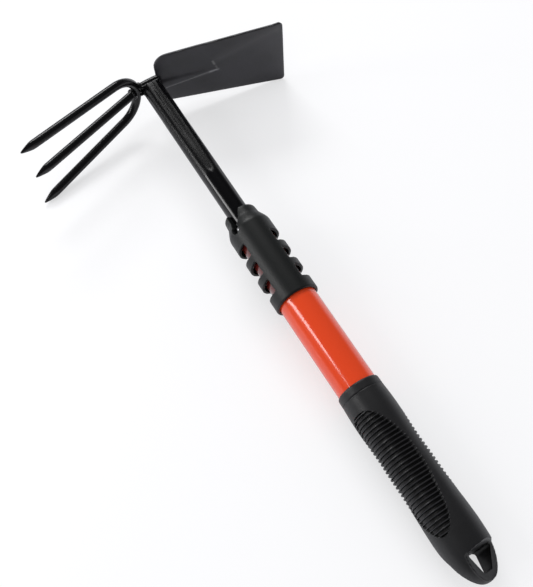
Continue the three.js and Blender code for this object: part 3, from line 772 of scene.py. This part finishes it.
RIVET_HALF = 2.4
rivet_profile = [
    (SHANK_RADIUS - 2.2, 1.5), (SHANK_RADIUS + 0.9, 1.5),
    (SHANK_RADIUS + 0.9, 2.35), (SHANK_RADIUS + 1.2, RIVET_HALF),
]
for a in [math.pi / 2 * k / 8 for k in range(8)]:
    rivet_profile.append((SHANK_RADIUS + 2.4 + 1.6 * math.sin(a), RIVET_HALF * math.cos(a)))
rivet_profile += [(SHANK_RADIUS + 4.0, 0.03), (SHANK_RADIUS - 2.2, 0.03)]
stand = rivet_plane @ Matrix.Rotation(-math.pi / 2, 4, "Y")
rivet = new_piece("rivet_domed", placed(turned(rivet_profile, 32), stand), rivet_steel, 50)
hand_in(rivet, "collar_rivet")

# Shank: a tube with a flute pressed into its head half

SHANK_STEPS = 144
SHANK_STOP = SHANK_END - 1.6   # short of the weld
SHANK_WALL = 1.3
FLUTE_START = SHANK_END - 89.5
FLUTE_DEPTH = 1.3


def shank_surface(x, angle):
    across = math.sin(angle) * SHANK_RADIUS
    if math.cos(angle) <= 0 or abs(across) > 4.6:
        return SHANK_RADIUS
    run = 0.3 * smooth(FLUTE_START - 1.5, FLUTE_START + 3.5, x)
    run += 0.7 * smooth(FLUTE_START, FLUTE_START + 48.0, x)
    width = 1.4 + 3.0 * smooth(FLUTE_START - 1.5, FLUTE_START + 9.0, x)
    return SHANK_RADIUS - FLUTE_DEPTH * run * (1 - smooth(0.0, 1.0, abs(across) / width))


shank_xs = [COLLAR_NOSE - 40.0] + frange(COLLAR_NOSE - 10, FLUTE_START - 4, 4.0)
shank_xs += frange(FLUTE_START - 3.5, FLUTE_START + 12, 0.5)
shank_xs += frange(FLUTE_START + 14, SHANK_STOP - 1, 2.0)
shank_xs += [SHANK_STOP - 0.5, SHANK_STOP - 0.2, SHANK_STOP]
shank_line = [(x, 0.35 * smooth(SHANK_STOP - 0.6, SHANK_STOP, x)) for x in shank_xs]
shank_line += [(SHANK_STOP, SHANK_WALL), (SHANK_STOP - 14.0, SHANK_WALL)]
shank_rings = [
    [ring_point(x, shank_surface(x, a) - inwards, a) for a in angles(SHANK_STEPS)]
    for x, inwards in shank_line
]
# The drawn half beside the collar is glossier than the pressed half
roughen(paint_shank, past_along(paint_shank, FLUTE_START - 1, 1 / 0.3), 0.12)
shank = new_piece("shank_fluted", plugged(shank_rings), paint_shank, 40)
hand_in(shank, "shank_tube")

# Head: two slanted planes, each with x outwards from the axis and y across the blade


def head_plane(hub, tilt, side):
    out = Vector((-math.sin(tilt), side * math.cos(tilt), 0))
    across = Vector((0, 0, 1))
    normal = out.cross(across)
    return Matrix((
        (out.x, across.x, normal.x, SHANK_END + hub),
        (out.y, across.y, normal.y, 0.0),
        (out.z, across.z, normal.z, 0.0),
        (0, 0, 0, 1),
    ))


TINE_PLANE = head_plane(5.1, math.radians(17.4), 1)
BLADE_PLANE = head_plane(2.9, math.radians(15.4), -1)

# Tines: the outer two are one rod bent to a bow, the centre one is welded to it

ROD_STEPS = 28
SPLAY = math.radians(7.4)
TINE_REACH = 107.0
TIP_SPREAD = 29.4
BOW_REACH = 11.2
BEND_RADIUS = 19.0
CENTRE_REACH = 104.8
CENTRE_SHIFT = -0.5
# Along the forged point from its tip: the run, the half width and the half thickness
POINT_SHAPE = [
    (0.0, 0.35, 0.3), (0.5, 0.75, 0.6), (2.0, 1.35, 1.1), (5.0, 2.35, 1.85), (7.6, 3.1, 2.4),
    (9.0, 3.35, 2.65), (10.4, 3.35, 2.8), (12.5, 3.15, 2.97), (15.0, ROD_RADIUS, ROD_RADIUS),
]


def point_line(x, y, heading):
    """The forged point: it swells flat from the tip, then runs into the round rod."""
    return [
        (x + math.cos(heading) * run, y + math.sin(heading) * run, heading, half_width, half_thick)
        for run, half_width, half_thick in POINT_SHAPE
    ]


def rod_mesh(line):
    """A rod in the tines' plane from places, headings, half widths and half thicknesses."""
    turn = TINE_PLANE.to_3x3()
    stations = []
    for x, y, heading, half_width, half_thick in line:
        side = Vector((-math.sin(heading), math.cos(heading), 0)) * half_width
        stations.append((
            TINE_PLANE @ Vector((x, y, 0)), turn @ side, turn @ Vector((0, 0, half_thick))))
    return swept(stations, ROD_STEPS)


def outer_line():
    """The upper outer tine from its tip to the middle of the bow, and the lower one back."""
    turn = math.pi / 2 - SPLAY
    corner = TIP_SPREAD - (TINE_REACH - BOW_REACH) * math.tan(SPLAY)
    radius = min(BEND_RADIUS, corner / math.tan(turn / 2))
    centre_x, centre_y = BOW_REACH + radius, corner - radius * math.tan(turn / 2)
    upper = point_line(TINE_REACH, TIP_SPREAD, math.pi + SPLAY)
    start_x, start_y = upper[-1][:2]
    end_x, end_y = centre_x - math.cos(turn) * radius, centre_y + math.sin(turn) * radius
    straights = 12
    for i in range(1, straights):
        t = i / straights
        upper.append((start_x + (end_x - start_x) * t, start_y + (end_y - start_y) * t,
                      math.pi + SPLAY, ROD_RADIUS, ROD_RADIUS))
    bends = 20
    for i in range(bends, -1, -1):
        a = turn * i / bends
        upper.append((centre_x - math.cos(a) * radius, centre_y + math.sin(a) * radius,
                      math.pi * 1.5 - a, ROD_RADIUS, ROD_RADIUS))
    return upper + [(x, -y, math.pi - h, w, t) for x, y, h, w, t in reversed(upper)]


outer_tines = new_piece("tines_outer", rod_mesh(outer_line()), paint_black, 60)
hand_in(outer_tines, "outer_tines")

centre_line = point_line(CENTRE_REACH, CENTRE_SHIFT, math.pi)
for x in frange(86, BOW_REACH + ROD_RADIUS - 0.6, 6):
    centre_line.append((x, CENTRE_SHIFT, math.pi, ROD_RADIUS, ROD_RADIUS))
centre_tine = new_piece("tine_centre", rod_mesh(centre_line), paint_black, 60)
hand_in(centre_tine, "centre_tine")

# Neck rod, from the bow over the shank's end into the back of the blade's rib

RIB_TIP = 50.0
BLADE_ROOT = 5.6
RIB_HEIGHT = 2.3
PLATE_HALF = 1.0
BOW = TINE_PLANE @ Vector((BOW_REACH, 0, 0))


def in_rib(reach):
    """A place behind the rib, with the rod just under the plate."""
    rib = RIB_HEIGHT * (RIB_TIP - reach) / (RIB_TIP - BLADE_ROOT)
    return BLADE_PLANE @ Vector((reach, 0, rib - PLATE_HALF - ROD_RADIUS - 0.3))


def over_shank(inwards, y):
    return Vector((SHANK_END + ROD_RADIUS - inwards, y, 0))


def neck_mesh():
    line = [(over_shank(0.45, BOW.y - ROD_RADIUS + 0.3), 1.0)]
    line += [(over_shank(0.35, 4.0), 1.04), (over_shank(0.15, 0.0), 1.04)]
    line += [(over_shank(0.15, -4.0), 1.04)]
    line += [(in_rib(reach), 1.0) for reach in (8.0, 11.0, 14.0, 20.0, 28.0)]
    line += [(in_rib(28.7), 0.92), (in_rib(29.0), 0.75)]
    stations = []
    for i, (point, share) in enumerate(line):
        ahead = line[min(i + 1, len(line) - 1)][0] - line[max(i - 1, 0)][0]
        ahead.normalize()
        side = Vector((0, 0, 1)).cross(ahead)
        radius = ROD_RADIUS * share
        stations.append((point, side * radius, Vector((0, 0, radius))))
    return swept(stations, ROD_STEPS)


neck = new_piece("neck_rod_bent", neck_mesh(), paint_black, 50)
hand_in(neck, "neck_rod")

# Blade: a plate with a pressed rib, drawn as a height over a fine triangle mesh

BLADE_REACH = 97.4
BLADE_HALF = 29.0
BLADE_GRID = 0.75
BLADE_CORNERS = [
    (BLADE_ROOT, -21.4), (BLADE_REACH, -BLADE_HALF), (BLADE_REACH, BLADE_HALF),
    (BLADE_ROOT, 23.8), (BLADE_ROOT, 5.8), (8.0, 5.8), (8.0, -5.8), (BLADE_ROOT, -5.8),
]
BLADE_RADII = [10.5, 3.0, 3.0, 10.5, 1.0, 1.5, 1.5, 1.0]
RIM_INSETS = (0.3, 0.9)
RIM_HALVES = (0.5, 0.86, PLATE_HALF)  # half thickness on the rim and at its insets
# Painted highlights: the light along the crease, along the rib's lower flank and on the facets at
# the rib's tip
HIGHLIGHT_LINES = (
    ((47.0, 9.0), (94.0, 25.7), 5.0, (0.037, 0.036, 0.039)),
    ((12.0, -6.2), (45.0, -2.2), 2.2, (0.068, 0.068, 0.070)),
    ((43.6, -2.2), (49.2, -1.4), 1.5, (0.20, 0.20, 0.21)),
    ((49.2, -0.8), (48.2, 2.6), 1.1, (0.08, 0.08, 0.08)),
    ((47.3, 5.0), (46.4, 7.8), 1.3, (0.14, 0.14, 0.14)),
)


def rib_height(x, y):
    """The pressed rib: steep flanks and a low round top, narrowing to its tip."""
    share = (RIB_TIP - x) / (RIB_TIP - BLADE_ROOT)
    if share <= 0:
        return 0.0
    across = abs(y + 3.4 * share)
    width = 3.6 * share + 0.9
    flank = 1 - smooth(width - 0.9, width + 0.9, across)
    return RIB_HEIGHT * share ** 0.8 * flank * (1 - 0.25 * min(1.0, across / width) ** 2)


def crease(x, y, start, end, height, spread):
    """A straight raised line between two places on the plate, falling off to both sides."""
    ax, ay = end[0] - start[0], end[1] - start[1]
    t = ((x - start[0]) * ax + (y - start[1]) * ay) / (ax * ax + ay * ay)
    off = abs((x - start[0]) * ay - (y - start[1]) * ax) / math.hypot(ax, ay)
    ends = smooth(-0.06, 0.06, t) * (1 - smooth(0.94, 1.06, t))
    return height * ends * math.exp(-off / spread)


def ridge_height(x, y):
    """The mark at the rib's tip, and the faint crease on from there to the upper corner."""
    mark = crease(x, y, (48.5, -0.6), (46.0, 7.2), 0.25, 1.2)
    return mark + crease(x, y, (46.0, 8.6), (94.0, 25.7), 0.8, 12.0)


def blade_mesh():
    """Both faces of the plate over one pattern of triangles, joined round the rim."""
    rim = resample(rounded(BLADE_CORNERS, BLADE_RADII, 8), 1.2)
    points, edges = [], []
    for ring in [rim] + [inset(rim, distance) for distance in RIM_INSETS]:
        base = len(points)
        points += [Vector(p) for p in ring]
        edges += [(base + i, base + (i + 1) % len(ring)) for i in range(len(ring))]
    core = inset(rim, 1.5)
    for x in frange(BLADE_ROOT, BLADE_REACH, BLADE_GRID):
        for y in frange(-BLADE_HALF, BLADE_HALF, BLADE_GRID):
            if is_inside(x, y, core):
                points.append(Vector((x, y)))
    flat, _, triangles, origins, _, _ = delaunay_2d_cdt(points, edges, [], 0, 1e-5)

    halves = []
    for source in origins:
        ring = min(source[0] // len(rim), len(RIM_HALVES) - 1) if source else -1
        halves.append(RIM_HALVES[ring])
    verts, faces = [], []
    for sign in (1, -1):
        for (x, y), half in zip(flat, halves):
            z = rib_height(x, y) + ridge_height(x, y) + sign * half
            if sign < 0:
                # The back is ground up to the cutting edge
                z = max(z, -PLATE_HALF + 1.4 * smooth(BLADE_REACH - 5.2, BLADE_REACH + 0.6, x))
            verts.append((x, y, z))
    total = len(flat)
    for triangle in triangles:
        middle = sum((flat[i] for i in triangle), Vector((0, 0))) / 3
        if is_inside(middle.x, middle.y, rim):
            faces.append(tuple(triangle))
            faces.append(tuple(total + i for i in reversed(triangle)))
    on_rim = {s: new for new, source in enumerate(origins) for s in source if s < len(rim)}
    for i in range(len(rim)):
        a, b = on_rim[i], on_rim[(i + 1) % len(rim)]
        faces.append((a, b, total + b, total + a))
    return verts, faces


# Painted highlights along the blade's crease and rib, on its upper face only
paint_highlight_lines(paint_blade, BLADE_PLANE, HIGHLIGHT_LINES)
blade = new_piece("blade_pressed", placed(blade_mesh(), BLADE_PLANE), paint_blade, 60)
hand_in(blade, "hoe_blade")

# Weld metal at the hub: beads that melt into each other


def weld_beads():
    """The beads' centres and half sizes: on the bow, round the centre tine, on the shank's end
    and along the neck rod in the rib."""
    beads = [((BOW.x - 0.2, BOW.y - 2.6, z), (3.2, 2.2, 1.9)) for z in (-3.4, 0.0, 3.4)]
    for a in angles(10):
        spot = Vector((BOW_REACH + 3.6, math.cos(a) * 2.7 + CENTRE_SHIFT, math.sin(a) * 2.7))
        beads.append((TINE_PLANE @ spot, (1.5, 1.5, 1.5)))
    for y in (-5.5, -2.5, 0.5, 3.5, 5.5):
        beads += [((SHANK_END - 1.2, y, z), (1.5, 1.9, 1.3)) for z in (-3.3, 3.3)]
    for reach in (11.0, 13.5, 16.0, 18.5, 21.0):
        beads += [(BLADE_PLANE @ Vector((reach, y, -1.2)), (1.2, 1.9, 1.4)) for y in (-3.6, 3.6)]
    return beads


bm = bmesh.new()
for seed, (centre, size) in enumerate(weld_beads(), start=1):
    for v in bmesh.ops.create_icosphere(bm, subdivisions=3, radius=1.0)["verts"]:
        wobble = 1 + 0.12 * noise.noise(v.co * 2.0 + Vector((seed, 0, 0)))
        v.co = Vector(centre) + Vector([at * half for at, half in zip(v.co, size)]) * wobble
weld_mesh = bpy.data.meshes.new("weld")
bm.to_mesh(weld_mesh)
bm.free()
weld_mesh.transform(TOOL)
weld = bpy.data.objects.new("weld_beads", weld_mesh)
bpy.context.scene.collection.objects.link(weld)
soften(weld, 0.3, 9)
finish_mesh(weld, paint_black)
hand_in(weld, "head_weld")

# Floor: the camera sees it nearer to white than it lights the tool, with the tool's shadow kept

FLOOR_SIZE = 8
FLOOR_WHITE_SHARE = 0.56


def floor_material():
    mat = material("floor", (0.96, 0.96, 0.98), 0.9, specular=0.0)
    tree = mat.node_tree
    white = tree.nodes.new("ShaderNodeEmission")
    white.inputs["Color"].default_value = (1.0, 1.0, 1.0, 1.0)
    seen = tree.nodes.new("ShaderNodeLightPath")
    share = calculate(tree, "MULTIPLY", seen.outputs["Is Camera Ray"], FLOOR_WHITE_SHARE)
    both = tree.nodes.new("ShaderNodeMixShader")
    tree.links.new(share, both.inputs["Fac"])
    tree.links.new(tree.nodes["Principled BSDF"].outputs["BSDF"], both.inputs[1])
    tree.links.new(white.outputs["Emission"], both.inputs[2])
    tree.links.new(both.outputs["Shader"], tree.nodes["Material Output"].inputs["Surface"])
    return mat


bpy.ops.mesh.primitive_plane_add(size=FLOOR_SIZE)
floor = bpy.context.object
floor.name = "floor"
floor.data.materials.append(floor_material())

# Lights, placed by direction from the middle of the tool


def area_light(name, direction, distance, size, power, along):
    """A soft box that faces the tool, its long side as near as it can be to a direction."""
    light = bpy.data.lights.new(name, "AREA")
    light.shape = "RECTANGLE"
    light.size, light.size_y = size
    light.energy = power
    obj = bpy.data.objects.new(name, light)
    bpy.context.scene.collection.objects.link(obj)
    toward = Vector(direction).normalized()
    obj.location = toward * distance
    long_side = Vector(along)
    long_side = (long_side - toward * long_side.dot(toward)).normalized()
    short_side = toward.cross(long_side)
    turn = Matrix((long_side, short_side, toward)).transposed()
    obj.rotation_mode = "QUATERNION"
    obj.rotation_quaternion = turn.to_quaternion()


area_light("key", (0.79, -0.18, 0.6), 2.6, (1.4, 0.6), 31, (0, 1, 0))
# This one makes the bright stripe on the tube
area_light("stripe", (0.47, 0.81, 0.54), 1.09, (0.78, 0.16), 4.2, (0.4, 0.15, -0.65))

# World: plain light on the tool, a white set for the camera, and for reflections a white set near
# the ground that fades to a dim ceiling

world = bpy.data.worlds.new("studio")
bpy.context.scene.world = world
world.use_nodes = True
tree = world.node_tree
tree.nodes.clear()


def background(colour, strength=1.0):
    node = tree.nodes.new("ShaderNodeBackground")
    node.inputs["Color"].default_value = (*colour, 1.0)
    node.inputs["Strength"].default_value = strength
    return node


def mix_worlds(share, first, second):
    node = tree.nodes.new("ShaderNodeMixShader")
    tree.links.new(share, node.inputs["Fac"])
    tree.links.new(first.outputs[0], node.inputs[1])
    tree.links.new(second.outputs[0], node.inputs[2])
    return node


direction = tree.nodes.new("ShaderNodeTexCoord")
height = tree.nodes.new("ShaderNodeSeparateXYZ")
tree.links.new(direction.outputs["Generated"], height.inputs["Vector"])
fade = tree.nodes.new("ShaderNodeMapRange")
fade.interpolation_type = "SMOOTHSTEP"
for name, value in (("From Min", 0.0), ("From Max", 0.3), ("To Min", 0.5), ("To Max", 0.06)):
    fade.inputs[name].default_value = value
tree.links.new(height.outputs["Z"], fade.inputs["Value"])
mirrored = background((0.97, 0.97, 1.0))
tree.links.new(fade.outputs["Result"], mirrored.inputs["Strength"])

path = tree.nodes.new("ShaderNodeLightPath")
straight = calculate(
    tree, "MAXIMUM", path.outputs["Is Camera Ray"], path.outputs["Is Transmission Ray"])
on_tool = mix_worlds(path.outputs["Is Glossy Ray"], background((0.96, 0.97, 1.0), 0.62), mirrored)
everything = mix_worlds(straight, on_tool, background((0.98, 0.98, 0.985)))
out = tree.nodes.new("ShaderNodeOutputWorld")
tree.links.new(everything.outputs[0], out.inputs["Surface"])

# Camera, fitted to the photograph in the tool's frame

PHOTO_HEIGHT = 587             # pixels, the longer side
FOCAL_LENGTH = 900             # pixels
SENSOR = 36

camera = bpy.data.cameras.new("camera")
camera.lens = FOCAL_LENGTH / PHOTO_HEIGHT * SENSOR
camera.sensor_width = SENSOR
camera.clip_start, camera.clip_end = 0.01, 50
eye = bpy.data.objects.new("camera", camera)
bpy.context.scene.collection.objects.link(eye)
turn_only = REST.to_3x3()
right = turn_only @ Vector((-0.50917, -0.85960, -0.04284))
up = turn_only @ Vector((0.76194, -0.47335, 0.44202))
back = turn_only @ Vector((-0.40024, 0.19242, 0.89598))
place = TOOL @ Vector((-13.801, 120.052, 494.876))
eye.matrix_world = Matrix((
    (right.x, up.x, back.x, place.x),
    (right.y, up.y, back.y, place.y),
    (right.z, up.z, back.z, place.z),
    (0, 0, 0, 1),
))
bpy.context.scene.camera = eye

bpy.context.scene.view_settings.view_transform = "Standard"
